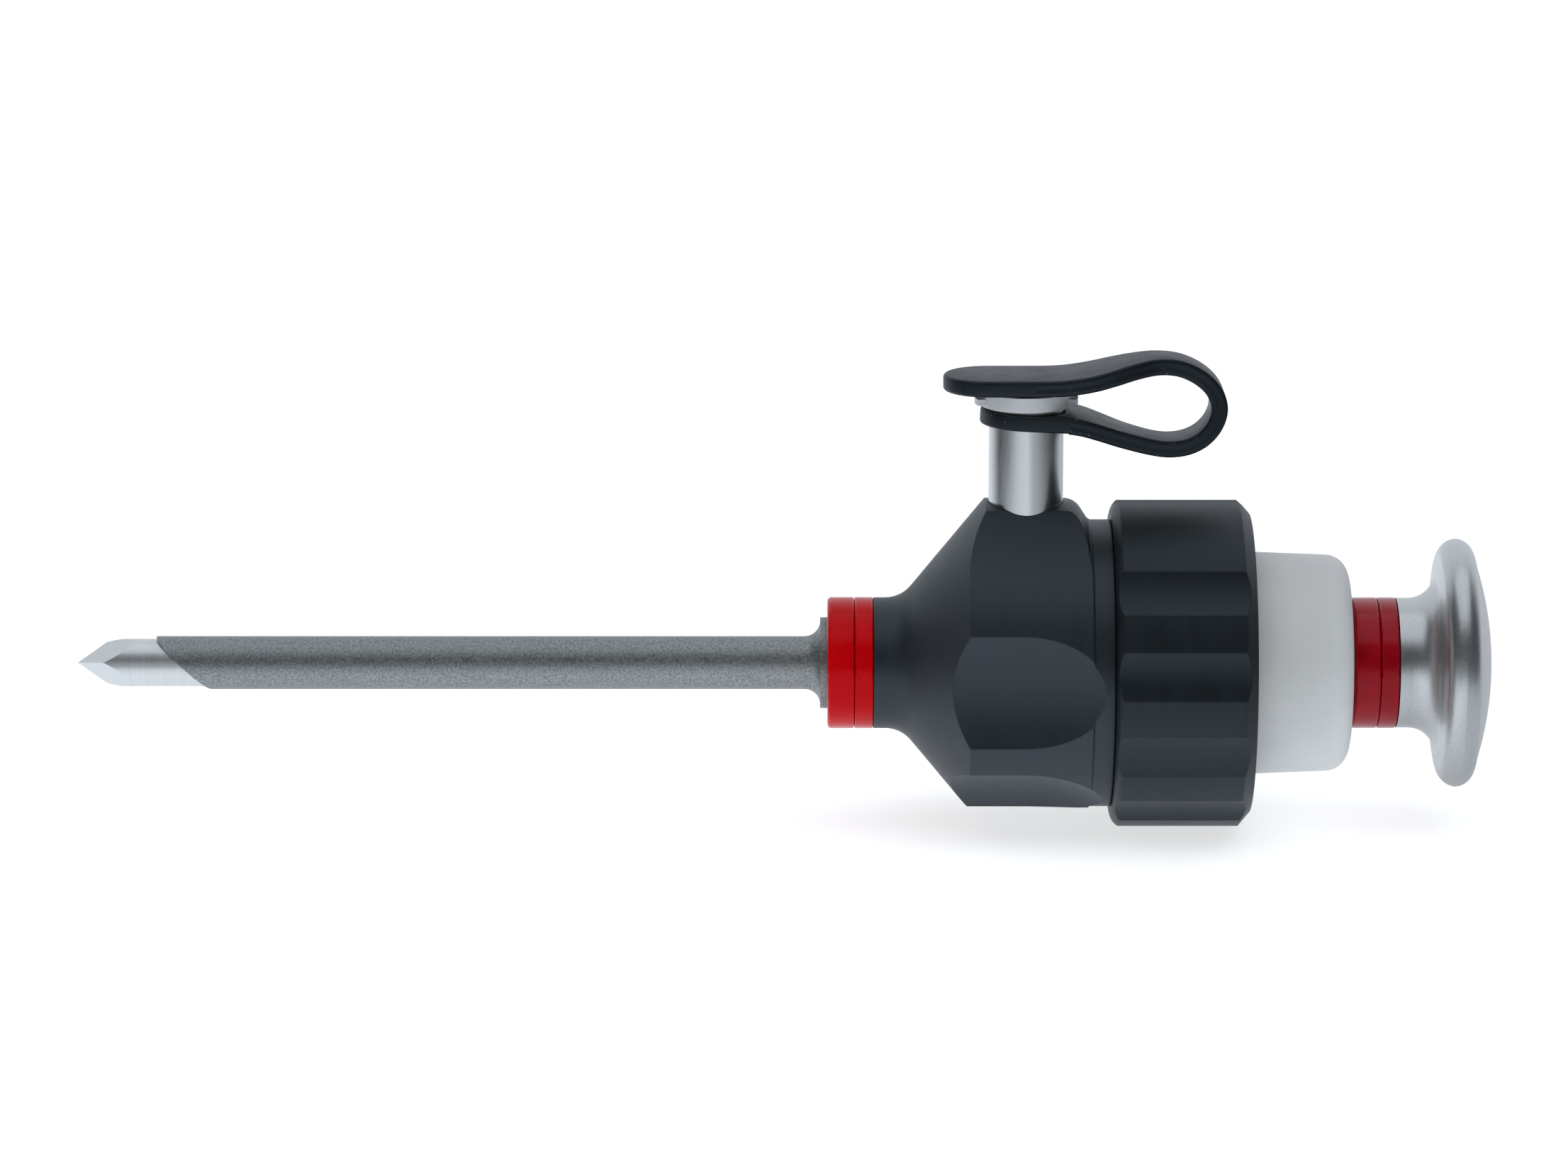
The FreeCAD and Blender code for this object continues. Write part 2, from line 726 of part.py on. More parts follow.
def seal_clamp_washer(doc, s):
    """Slip washer between the turning cap and the soft seal."""
    left = s.spigot_end + s.seal_gap + s.seal_flange_width
    right = left + s.washer_width
    bore = s.cap_lip_bore
    return turned_body(doc, "seal_clamp_washer", [
        (left, bore), (left, s.seal_flange_radius), (right, s.seal_flange_radius), (right, bore),
    ])


def screw_cap(doc, s):
    """Fluted cap: twelve places round the rim, one of them left plain."""
    lip = s.cap_right - s.cap_lip_width
    left, right = s.cap_left, s.cap_right
    body = turned_body(doc, "screw_cap", [
        (left, s.cap_bore), (left, s.cap_radius - s.cap_left_drop),
        (left + s.cap_left_edge, s.cap_radius), (right - s.cap_right_chamfer, s.cap_radius),
        (right, s.cap_radius - s.cap_right_drop), (right, s.cap_lip_bore),
        (lip, s.cap_lip_bore), (lip, s.cap_bore),
    ], {1: (s.cap_left_round, -1)})
    sketch = new_sketch(body, "flute_circle", "YZ_Plane")
    sketch.AttachmentOffset = FreeCAD.Placement(
        FreeCAD.Vector(0, 0, 0), FreeCAD.Rotation(FreeCAD.Vector(0, 0, 1), s.first_flute.number))
    sketch.setExpression("AttachmentOffset.Rotation.Angle", s.first_flute.text)
    centre = s.flute_floor + s.flute_radius
    draw_circle(sketch, centre, 0, s.flute_radius)
    cut = cut_through(body, "flute_cut", sketch, both_sides(s.cap_right))
    repeat_round(body, "flutes", cut, FLUTES, s.flute_pitch * (FLUTES - 1))
    return body


def obturator_shaft(doc, s):
    """Solid rod ground to a three-sided point, one of its edges towards the front."""
    tip = -s.tip_reach
    body = turned_body(doc, "obturator_shaft", [
        (tip, 0), (tip, s.shaft_radius), (s.shaft_end, s.shaft_radius), (s.shaft_end, 0),
    ])
    facet = new_sketch(body, "facet_outline", "XY_Plane")
    facet.AttachmentOffset = FreeCAD.Placement(
        FreeCAD.Vector(0, 0, 0), FreeCAD.Rotation(FreeCAD.Vector(1, 0, 0), -s.edge_roll.number))
    facet.setExpression("AttachmentOffset.Rotation.Angle", "-1 * " + s.edge_roll.text)
    above = s.shaft_radius + SPARE
    draw_outline(facet, [
        (tip, 0), (tip + s.tip_length * above / s.shaft_radius, above), (tip - SPARE, above),
        (tip - SPARE, 0),
    ])
    cut = cut_through(body, "facet_cut", facet, both_sides(s.shaft_radius))
    repeat_round(body, "facets", cut, 3, 360)
    cross_hole(body, s, s.lock_pin_radius + s.shaft_fit)
    return body


def cross_hole(body, s, radius):
    """Hole across the axis for the lock pin."""
    sketch = new_sketch(body, body.Label + "_pin_hole", "XZ_Plane")
    draw_circle(sketch, s.lock_pin_place, 0, radius)
    cut_through(body, body.Label + "_pin_cut", sketch, both_sides(s.knob_radius))


def obturator_knob(doc, s):
    """Mushroom knob for the palm, with the spigot that carries the rear rings."""
    bore = s.shaft_radius + s.shaft_fit
    nose = s.rear_ring_left + s.ring_nut_inset
    step = nose + s.ring_nut_width
    body = turned_body(doc, "obturator_knob", [
        (nose, bore), (nose, s.thread_end), (step, s.thread_end), (step, s.knob_spigot),
        (s.knob_left, s.knob_spigot), (s.knob_left, s.knob_neck_radius),
        (s.knob_flare_start, s.knob_neck_radius),
        (s.knob_flare_start + s.knob_flare, s.knob_neck_radius + s.knob_flare),
        (s.knob_under_place, s.knob_under), (s.knob_widest, s.knob_radius),
        (s.knob_dome_place, s.knob_dome_edge), (s.knob_end, 0), (s.shaft_end, 0),
        (s.shaft_end, bore),
    ], {6: (s.knob_flare, 1), 8: (s.knob_rim_left, -1), 9: (s.knob_rim_right, -1),
        10: (s.knob_dome, -1)})
    cross_hole(body, s, s.lock_pin_radius + s.shaft_fit)
    return body


def rear_code_rings(doc, s):
    """Two rings on the knob's spigot; the first is counterbored for the ring nut."""
    bore = s.knob_spigot + s.ring_bore_gap
    left = s.rear_ring_left
    right = left + s.third_ring_width
    ledge = left + s.ring_nut_inset + s.ring_nut_width + s.ring_nut_gap
    room = s.ring_nut_radius + s.ring_nut_gap
    edge, wide_edge = s.ring_edge_small, s.ring_edge
    turned_body(doc, "obturator_code_ring_front", [
        (left, room), (left, s.rear_ring_radius - wide_edge),
        (left + wide_edge, s.rear_ring_radius), (right - edge, s.rear_ring_radius),
        (right, s.rear_ring_radius - edge), (right, bore), (ledge, bore), (ledge, room),
    ], {1: (wide_edge, -1), 3: (edge, -1)})
    ring(doc, "obturator_code_ring_back", right + s.ring_line, s.fourth_ring_width, bore,
         s.rear_ring_radius, edge, edge)


def ring_retaining_nut(doc, s):
    """Thin nut on the end of the knob's spigot that keeps the rear rings on."""
    left = s.rear_ring_left + s.ring_nut_inset
    right = left + s.ring_nut_width
    bore = s.thread_end + s.shaft_fit
    return turned_body(doc, "ring_retaining_nut", [
        (left, bore), (left, s.ring_nut_radius), (right, s.ring_nut_radius), (right, bore),
    ])


def shaft_lock_pin(doc, s):
    """Pin across the spigot and the rod, hidden under the rings."""
    pin = doc.addObject("Part::Cylinder", "shaft_lock_pin")
    pin.Label = "shaft_lock_pin"
    half = s.knob_spigot - s.lock_pin_inset
    pin.setExpression("Radius", s.lock_pin_radius.text)
    pin.setExpression("Height", (half * 2).text)
    pin.Placement = FreeCAD.Placement(
        FreeCAD.Vector(s.lock_pin_place.number, half.number, 0),
        FreeCAD.Rotation(FreeCAD.Vector(1, 0, 0), 90))
    pin.setExpression("Placement.Base.x", s.lock_pin_place.text)
    pin.setExpression("Placement.Base.y", half.text)
    return pin


def stopper_ring(doc, s):
    """Eyelet that turns on the port tube under its flange."""
    bore = s.port_radius + s.eyelet_gap
    top = s.eyelet_bottom + s.eyelet_height
    return upright_body(doc, "stopper_ring", s.port_place, [
        (bore, s.eyelet_bottom), (s.eyelet_radius, s.eyelet_bottom), (s.eyelet_radius, top),
        (bore, top),
    ])


def port_stopper(doc, s):
    """Stopper: cone plug in the port under a finger tab that covers the port's head."""
    foot = s.port_top - s.plug_length
    plug = s.socket_mouth - s.plug_fit
    narrow = plug - s.socket_taper
    body = upright_body(doc, "port_stopper", s.port_place, [
        (0, foot), (narrow, foot), (plug, s.tab_bottom), (0, s.tab_bottom),
    ])
    outline = new_sketch(body, "tab_outline", "XY_Plane")
    outline.AttachmentOffset = FreeCAD.Placement(
        FreeCAD.Vector(0, 0, s.tab_bottom.number), FreeCAD.Rotation())
    outline.setExpression("AttachmentOffset.Base.z", s.tab_bottom.text)
    wide = s.tab_half_width
    left = s.port_place - s.tab_reach
    round_end = left + wide
    start = s.port_place + s.tab_wide_end
    end = s.port_place + s.tab_end
    half = s.strap_width / 2
    draw_outline(outline, [
        (left, 0), (round_end, -wide), (start, -wide), (end, -half), (end, half), (start, wide),
        (round_end, wide),
    ], {0: (wide, 1), 6: (wide, 1)})
    tab = body.newObject("PartDesign::Pad", "tab")
    tab.Profile = (outline, [""])
    tab.setExpression("Length", s.tab_thickness.text)
    top = s.tab_bottom + s.tab_thickness

    def tab_rim(middle):
        from_port = math.hypot(middle.x - s.port_place.number, middle.y)
        at_plug = near(middle.z, s.tab_bottom) and near(from_port, plug, 0.1)
        flat = near(middle.z, top) or near(middle.z, s.tab_bottom)
        return flat and not at_plug and not near(middle.x, end)

    round_edges(doc, body, "tab_rounding", tab, tab_rim, s.tab_edge)
    return body


def stopper_strap(doc, s):
    """Flat band that loops from the tab out over the housing and back to the eyelet."""
    place = s.port_place.number
    points = [FreeCAD.Vector(place + reach, 0, height) for reach, height in STRAP_LINE]
    line = Part.BSplineCurve()
    line.interpolate(points)
    half = s.strap_thickness.number / 2
    whole = line.LastParameter - line.FirstParameter
    sides = {1: [], -1: []}
    for step in range(STRAP_STATIONS + 1):
        at = line.FirstParameter + whole * step / STRAP_STATIONS
        along = line.tangent(at)[0]
        across = FreeCAD.Vector(-along.z, 0, along.x).normalize() * half
        for side, row in sides.items():
            row.append(line.value(at) + across * side)
    edges = []
    for row in sides.values():
        border = Part.BSplineCurve()
        border.interpolate(row)
        edges.append(border.toShape())
    first = Part.makeLine(sides[1][0], sides[-1][0])
    last = Part.makeLine(sides[1][-1], sides[-1][-1])
    rim = Part.sortEdges([edges[0], last, edges[1], first])[0]
    face = Part.Face(Part.Wire(rim))
    width = s.strap_width.number
    band = face.extrude(FreeCAD.Vector(0, width, 0))
    band.translate(FreeCAD.Vector(0, -width / 2, 0))
    eye = Part.makeCylinder(s.eyelet_radius.number, s.port_top.number,
                            FreeCAD.Vector(place, 0, 0))
    start = place + s.tab_end.number + s.strap_gap.number
    beside = width / 2 + SPARE
    tab_side = Part.makeBox(start, beside * 2, s.tab_thickness.number + SPARE * 2,
                            FreeCAD.Vector(0, -beside, s.tab_bottom.number - SPARE))
    strap = doc.addObject("Part::Feature", "stopper_strap")
    strap.Label = "stopper_strap"
    strap.Shape = band.cut([eye, tab_side])
    return strap


def build(doc):
    s = Sheet(write_sheet(doc))
    cannula_tube(doc, s)
    cannula_hub(doc, s)
    nose = front_code_rings(doc, s) + s.ring_line
    hub_o_ring(doc, s)
    hub_lock_nut(doc, s)
    valve_housing(doc, s, nose)
    luer_port(doc, s)
    port_gasket(doc, s)
    leaflet_valve(doc, s)
    valve_seat_ring(doc, s)
    nozzle_seal(doc, s)
    seal_clamp_washer(doc, s)
    screw_cap(doc, s)
    obturator_shaft(doc, s)
    obturator_knob(doc, s)
    rear_code_rings(doc, s)
    ring_retaining_nut(doc, s)
    shaft_lock_pin(doc, s)
    stopper_ring(doc, s)
    port_stopper(doc, s)
    stopper_strap(doc, s)


def check(doc):
    for item in doc.Objects:
        if "Invalid" in item.State or "Error" in item.State:
            raise RuntimeError(item.Label + " failed: " + str(item.State))


def sub_parts(doc):
    solids = ("PartDesign::Body", "Part::Cylinder", "Part::Feature")
    return [item for item in doc.Objects if item.TypeId in solids]


def export(doc):
    os.makedirs("parts", exist_ok=True)
    for item in sub_parts(doc):
        shape = item.Shape
        if shape.isNull() or not shape.isValid() or not shape.Solids:
            raise RuntimeError(item.Label + " has no valid solid")
        shape.exportStep("parts/" + item.Label + ".step")
        print(item.Label, len(shape.Solids), round(shape.Volume, 3))


document = FreeCAD.newDocument("trocar")
build(document)
document.recompute()
check(document)
export(document)
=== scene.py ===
import math
import bpy
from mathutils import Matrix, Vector
from mathutils.geometry import interpolate_bezier


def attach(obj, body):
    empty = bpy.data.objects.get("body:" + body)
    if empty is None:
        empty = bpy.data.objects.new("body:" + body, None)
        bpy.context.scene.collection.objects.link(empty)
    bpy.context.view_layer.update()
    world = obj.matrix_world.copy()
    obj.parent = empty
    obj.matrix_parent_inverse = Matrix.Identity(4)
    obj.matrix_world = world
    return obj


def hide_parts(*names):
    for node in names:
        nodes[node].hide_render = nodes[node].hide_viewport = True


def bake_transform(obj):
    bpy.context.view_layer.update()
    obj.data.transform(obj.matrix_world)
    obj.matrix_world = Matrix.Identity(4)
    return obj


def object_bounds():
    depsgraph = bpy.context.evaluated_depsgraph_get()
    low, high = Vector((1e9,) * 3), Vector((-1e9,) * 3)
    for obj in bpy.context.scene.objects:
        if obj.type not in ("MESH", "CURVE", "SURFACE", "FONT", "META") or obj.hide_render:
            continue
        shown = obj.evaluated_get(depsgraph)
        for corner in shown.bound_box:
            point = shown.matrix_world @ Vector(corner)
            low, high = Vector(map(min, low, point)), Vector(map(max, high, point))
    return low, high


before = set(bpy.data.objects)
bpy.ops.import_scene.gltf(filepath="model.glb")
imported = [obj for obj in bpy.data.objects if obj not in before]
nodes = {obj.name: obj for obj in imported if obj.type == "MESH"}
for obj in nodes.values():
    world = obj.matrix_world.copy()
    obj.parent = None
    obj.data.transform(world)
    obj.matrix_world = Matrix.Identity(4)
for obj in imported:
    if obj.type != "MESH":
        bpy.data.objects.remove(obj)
cadLow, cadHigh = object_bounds()
mm = 0.001
slack = 0.01 * mm  # room for picking vertices and edges by their place
weld = 0.001 * mm
print("frame loaded:", len(nodes), "pieces")


# colour and node helpers

def toLinear(hexColour):
    parts = [int(hexColour[i:i + 2], 16) / 255 for i in (1, 3, 5)]
    linear = [p / 12.92 if p <= 0.04045 else ((p + 0.055) / 1.055) ** 2.4 for p in parts]
    return (*linear, 1.0)


def addNode(tree, kind, settings=None, links=None):
    # settings are socket values or the node's own options; a link comes from a node or its socket
    node = tree.nodes.new(kind)
    for name, value in (settings or {}).items():
        if isinstance(name, int) or name in node.inputs:
            node.inputs[name].default_value = value
        else:
            setattr(node, name, value)
    for name, source in (links or {}).items():
        socket = source.outputs[0] if isinstance(source, bpy.types.Node) else source
        tree.links.new(socket, node.inputs[name])
    return node


def newMaterial(name, shader):
    material = bpy.data.materials.new(name)
    material.use_nodes = True
    tree = material.node_tree
    tree.nodes.clear()
    surface = addNode(tree, "ShaderNodeBsdfPrincipled", shader)
    addNode(tree, "ShaderNodeOutputMaterial", {}, {"Surface": surface})
    place = addNode(tree, "ShaderNodeTexCoord").outputs["Object"]
    return material, tree, surface, place


def addPattern(tree, surface, place, look):
    # patches of look["size"] mm between two shades, with the roughness and relief that go with them
    spread = addNode(tree, "ShaderNodeMapping", {"Scale": look.get("stretch", (1, 1, 1))},
                     {"Vector": place})
    noise = addNode(tree, "ShaderNodeTexNoise",
                    {"Scale": 1 / (look["size"] * mm), "Detail": look.get("detail", 2.0),
                     "Roughness": look.get("grit", 0.5)}, {"Vector": spread})
    low, high = look.get("spread", (0.3, 0.7))
    share = addNode(tree, "ShaderNodeMapRange", {"From Min": low, "From Max": high},
                    {"Value": noise})
    shade = addNode(tree, "ShaderNodeMix",
                    {"data_type": "RGBA", 6: toLinear(look["dark"]), 7: toLinear(look["pale"])},
                    {"Factor": share})
    tree.links.new(shade.outputs[2], surface.inputs["Base Color"])
    matt = addNode(tree, "ShaderNodeMapRange",
                   {"To Min": look["rough"][0], "To Max": look["rough"][1]}, {"Value": share})
    tree.links.new(matt.outputs[0], surface.inputs["Roughness"])
    if "relief" in look:
        relief = addNode(tree, "ShaderNodeBump",
                         {"Strength": 0.5, "Distance": look["relief"] * mm}, {"Height": noise})
        tree.links.new(relief.outputs[0], surface.inputs["Normal"])
    return shade, matt


# materials

def blastedSteel():
    # grit-blasted stainless tube: dull grey with a fine salt-and-pepper sparkle
    look = {"dark": "#727575", "pale": "#abaeae", "size": 0.16, "detail": 3.0, "grit": 0.7,
            "spread": (0.34, 0.68), "rough": (0.46, 0.58), "relief": 0.02}
    material, tree, surface, place = newMaterial("blasted stainless steel", {"Metallic": 1.0})
    addPattern(tree, surface, place, look)
    return material


def satinSteel():
    # bead-blasted stainless: soft, even, cooler highlights with a silky fine grain
    look = {"dark": "#b5b7b7", "pale": "#c9cbcb", "size": 0.10, "rough": (0.32, 0.38),
            "relief": 0.003}
    material, tree, surface, place = newMaterial("bead-blasted stainless steel", {"Metallic": 1.0})
    addPattern(tree, surface, place, look)
    return material


def groundSteel():
    # ground stainless: satin, with hair-fine grinding lines round the axis
    look = {"dark": "#d0d2d2", "pale": "#d8dada", "size": 0.12, "stretch": (1.0, 0.04, 0.04),
            "rough": (0.42, 0.46)}
    material, tree, surface, place = newMaterial("ground stainless steel", {"Metallic": 1.0})
    addPattern(tree, surface, place, look)
    return material


def polishedPort():
    # drawn stainless tube, polished to soft mirror bands, below a head left bead-blasted
    look = {"dark": "#bcbebe", "pale": "#c4c6c6", "size": 0.12, "stretch": (1.0, 1.0, 0.08),
            "rough": (0.22, 0.26), "headFrom": 19.0 * mm, "headFull": 19.1 * mm,
            "headRough": 0.85, "head": "#f2f3f3"}
    material, tree, surface, place = newMaterial("polished stainless steel", {"Metallic": 1.0})
    shade, matt = addPattern(tree, surface, place, look)
    height = addNode(tree, "ShaderNodeSeparateXYZ", {}, {"Vector": place}).outputs["Z"]
    head = addNode(tree, "ShaderNodeMapRange",
                   {"From Min": look["headFrom"], "From Max": look["headFull"]},
                   {"Value": height})
    rough = addNode(tree, "ShaderNodeMix", {"data_type": "FLOAT", "B": look["headRough"]},
                    {"Factor": head, "A": matt})
    colour = addNode(tree, "ShaderNodeMix", {"data_type": "RGBA", 7: toLinear(look["head"])},
                     {"Factor": head, 6: shade.outputs[2]})
    tree.links.new(rough.outputs[0], surface.inputs["Roughness"])
    tree.links.new(colour.outputs[2], surface.inputs["Base Color"])
    return material


def blackPolymer(name, dark, pale, ior):
    # machined black plastic: blue-black, half matt, with faint tool lines round the axis
    look = {"dark": dark, "pale": pale, "size": 0.9, "detail": 4.0,
            "stretch": (1.0, 0.25, 0.25), "rough": (0.47, 0.51), "toolStretch": (1.0, 0.02, 0.02),
            "toolPitch": 0.22, "toolDepth": 0.0012, "brokenEdge": 0.14}
    material, tree, surface, place = newMaterial(
        name, {"IOR": ior, "Specular Tint": toLinear("#d3e2ee")})
    addPattern(tree, surface, place, look)
    lines = addNode(tree, "ShaderNodeMapping", {"Scale": look["toolStretch"]}, {"Vector": place})
    tool = addNode(tree, "ShaderNodeTexNoise",
                   {"Scale": 1 / (look["toolPitch"] * mm), "Detail": 1.0}, {"Vector": lines})
    corner = addNode(tree, "ShaderNodeBevel", {"Radius": look["brokenEdge"] * mm, "samples": 4})
    relief = addNode(tree, "ShaderNodeBump", {"Strength": 0.4, "Distance": look["toolDepth"] * mm},
                     {"Height": tool, "Normal": corner})
    tree.links.new(relief.outputs[0], surface.inputs["Normal"])
    return material


def redRing(name, dark, pale, rough, gloss):
    # moulded and polished red acetal: deep, saturated, with a thin clear gloss
    look = {"dark": dark, "pale": pale, "size": 1.2, "rough": rough}
    material, tree, surface, place = newMaterial(
        name, {"IOR": 1.42, "Specular IOR Level": gloss, "Specular Tint": toLinear("#ff8f9c")})
    addPattern(tree, surface, place, look)
    return material


def whiteSilicone():
    # moulded translucent silicone: milky, cool white, light creeps a few tenths of a mm in
    look = {"dark": "#e4e4e2", "pale": "#e8e8e6", "size": 3.0, "detail": 1.0, "rough": (0.44, 0.48),
            "creep": 0.8}
    material, tree, surface, place = newMaterial(
        "translucent white silicone",
        {"IOR": 1.41, "Subsurface Weight": 0.6, "Subsurface Radius": (1.0, 1.05, 1.1),
         "Subsurface Scale": look["creep"] * mm})
    addPattern(tree, surface, place, look)
    return material


def blackSilicone():
    # moulded black silicone: soft blue-black with a few specks of dust
    look = {"dark": "#101417", "pale": "#161b1f", "size": 1.5, "detail": 3.0,
            "rough": (0.42, 0.5), "relief": 0.01,
            "dust": "#8b9196", "dustSize": 0.22, "dustSpread": (0.745, 0.765), "dustShare": 0.5}
    material, tree, surface, place = newMaterial(
        "moulded black silicone", {"IOR": 1.45, "Specular Tint": toLinear("#cfdfeb")})
    shade, matt = addPattern(tree, surface, place, look)
    dust = addNode(tree, "ShaderNodeTexNoise",
                   {"Scale": 1 / (look["dustSize"] * mm), "Detail": 1.0}, {"Vector": place})
    low, high = look["dustSpread"]
    specks = addNode(tree, "ShaderNodeMapRange",
                     {"From Min": low, "From Max": high, "To Max": look["dustShare"]},
                     {"Value": dust})
    dusty = addNode(tree, "ShaderNodeMix", {"data_type": "RGBA", 7: toLinear(look["dust"])},
                    {"Factor": specks, 6: shade.outputs[2]})
    tree.links.new(dusty.outputs[2], surface.inputs["Base Color"])
    return material


def greyRubber():
    # moulded nitrile sealing rubber: dark, matt, slightly grey with talc
    look = {"dark": "#26282b", "pale": "#3a3d40", "size": 0.6, "rough": (0.66, 0.74),
            "relief": 0.006}
    material, tree, surface, place = newMaterial("moulded nitrile rubber", {"IOR": 1.52})
    addPattern(tree, surface, place, look)
    return material


def innerPolymer():
    # turned natural PPSU: pale straw plastic with faint tool lines
    look = {"dark": "#b9b6a4", "pale": "#cbc8b8", "size": 0.15, "detail": 1.0,
            "stretch": (1.0, 0.02, 0.02), "rough": (0.33, 0.38), "relief": 0.003}
    material, tree, surface, place = newMaterial("turned natural PPSU", {"IOR": 1.67})
    addPattern(tree, surface, place, look)
    return material


finishes = {
    "blasted": blastedSteel(), "satin": satinSteel(), "ground": groundSteel(),
    "port": polishedPort(),
    "black": blackPolymer("turned black PEEK", "#141a1d", "#1b2125", 1.65),
    "cap": blackPolymer("milled black POM", "#0c1114", "#13181b", 1.53),
    "red": redRing("polished red acetal", "#d00006", "#dc060c", (0.17, 0.26), 0.35),
    "crimson": redRing("polished crimson acetal", "#96000c", "#a40416", (0.2, 0.26), 0.9),
    "white": whiteSilicone(), "strap": blackSilicone(), "rubber": greyRubber(),
    "inner": innerPolymer(),
}
nodeFinishes = {
    "cannula_tube": "blasted", "cannula_hub": "blasted", "hub_code_ring_front": "red",
    "hub_code_ring_back": "red", "hub_o_ring": "rubber", "hub_lock_nut": "satin",
    "valve_housing": "black", "luer_port": "port", "port_gasket": "rubber",
    "leaflet_valve": "white", "valve_seat_ring": "inner", "nozzle_seal": "white",
    "seal_clamp_washer": "inner", "screw_cap": "cap", "obturator_shaft": "ground",
    "obturator_knob": "satin", "obturator_code_ring_front": "crimson",
    "obturator_code_ring_back": "crimson", "ring_retaining_nut": "satin",
    "shaft_lock_pin": "ground", "stopper_ring": "strap", "stopper_strap": "strap",
    "port_stopper": "strap",
}


def dressNode(name, finish):
    mesh = nodes[name].data
    mesh.materials.clear()
    mesh.materials.append(finishes[finish])


for nodeName, finish in nodeFinishes.items():
    dressNode(nodeName, finish)
print("materials on", len(nodeFinishes), "pieces")


# modelling helpers

def beginPiece(name):
    piece = bpy.context.object
    piece.name = name
    bpy.ops.object.mode_set(mode="EDIT")
    bpy.ops.mesh.select_all(action="SELECT")
    return piece


def clearSelection():
    if bpy.context.object and bpy.context.object.mode != "OBJECT":
        bpy.ops.object.mode_set(mode="OBJECT")
    bpy.ops.object.select_all(action="DESELECT")


def pickVertices(piece, test):
    # selects the vertices whose place passes the test, in vertex mode
    bpy.ops.mesh.select_mode(type="VERT")
    bpy.ops.mesh.select_all(action="DESELECT")
    bpy.ops.object.mode_set(mode="OBJECT")
    for vertex in piece.data.vertices:
        vertex.select = test(piece.matrix_world @ vertex.co)
    bpy.ops.object.mode_set(mode="EDIT")


def pickEdges(piece, test):
    # selects the edges whose two ends pass the test, in edge mode
    bpy.ops.mesh.select_mode(type="EDGE")
    bpy.ops.mesh.select_all(action="DESELECT")
    bpy.ops.object.mode_set(mode="OBJECT")
    points = [piece.matrix_world @ vertex.co for vertex in piece.data.vertices]
    for edge in piece.data.edges:
        first, last = (points[i] for i in edge.vertices)
        edge.select = test(first, last)
    bpy.ops.object.mode_set(mode="EDIT")


def endPiece(piece, finish, angle=40):
    # seams closed, faces outward, transform applied, smooth up to the angle in degrees
    bpy.ops.object.mode_set(mode="EDIT")
    bpy.ops.mesh.select_mode(type="VERT")
    bpy.ops.mesh.select_all(action="SELECT")
    bpy.ops.mesh.remove_doubles(threshold=weld)
    bpy.ops.mesh.normals_make_consistent(inside=False)
    clearSelection()
    piece.select_set(True)
    bpy.context.view_layer.objects.active = piece
    bpy.ops.object.transform_apply(location=True, rotation=True, scale=True)
    bpy.ops.object.shade_smooth_by_angle(angle=math.radians(angle))
    piece.data.materials.clear()
    piece.data.materials.append(finishes[finish])
    return piece


def smoothPath(points, steps):
    path = []
    for i in range(len(points) - 1):
        first, last = points[i], points[i + 1]
        before = points[i - 1] if i else first * 2 - last
        after = points[i + 2] if i + 2 < len(points) else last * 2 - first
        lead, trail = first + (last - before) / 6, last - (after - first) / 6
        path += list(interpolate_bezier(first, lead, trail, last, steps + 1))[:-1]
    path.append(points[-1])
    return path


# port stopper: finger tab, looped strap and eyelet, one silicone moulding

portBox = [nodes["luer_port"].matrix_world @ Vector(corner)
           for corner in nodes["luer_port"].bound_box]
portX = (min(p.x for p in portBox) + max(p.x for p in portBox)) / 2
portTop = max(p.z for p in portBox)

stopper = {
    "thickness": 1.2 * mm, "edge": 0.26 * mm, "edgeSteps": 5,
    "tabLeft": -6.07 * mm, "tabRight": 0.6 * mm, "tabWidth": 6.7 * mm, "tabLow": portTop + 0.06 * mm,
    "plugTop": 2.04 * mm, "plugFoot": 1.93 * mm, "plugLow": 17.04 * mm, "plugSides": 64,
    "plugSunk": 0.2 * mm, "plugEdge": 0.25 * mm, "plugEdgeSteps": 4,
    "eyeLeft": -3.38 * mm, "eyeRight": 3.1 * mm, "eyeWidth": 6.6 * mm, "eyeEdge": 0.208 * mm,
    "eyeBore": 2.85 * mm, "eyeBoreSides": 96, "eyeBoreRim": 0.05 * mm, "eyeCore": 4 * mm,
    "eyeLow": 17.86 * mm, "eyeHeight": 1.15 * mm,
    "eyePivot": 18.4 * mm, "eyeTilt": 2.5,  # the strap pulls it down
    "endSteps": 20, "endShare": 0.999,  # the round left ends, as a share of half the width
}


def cutBore(piece, radius, height):
    # a round hole on the port's axis, cut by a core that is then thrown away
    clearSelection()
    bpy.ops.mesh.primitive_cylinder_add(vertices=stopper["eyeBoreSides"], radius=radius,
                                        depth=stopper["eyeCore"], location=(portX, 0, height))
    core = bpy.context.object
    clearSelection()
    piece.select_set(True)
    bpy.context.view_layer.objects.active = piece
    bore = piece.modifiers.new("bore", "BOOLEAN")
    bore.operation = "DIFFERENCE"
    bore.object = core
    bpy.ops.object.modifier_apply(modifier="bore")
    bpy.data.objects.remove(core, do_unlink=True)
    bpy.ops.object.mode_set(mode="EDIT")
    bpy.ops.mesh.select_all(action="SELECT")
    bpy.ops.mesh.remove_doubles(threshold=weld)


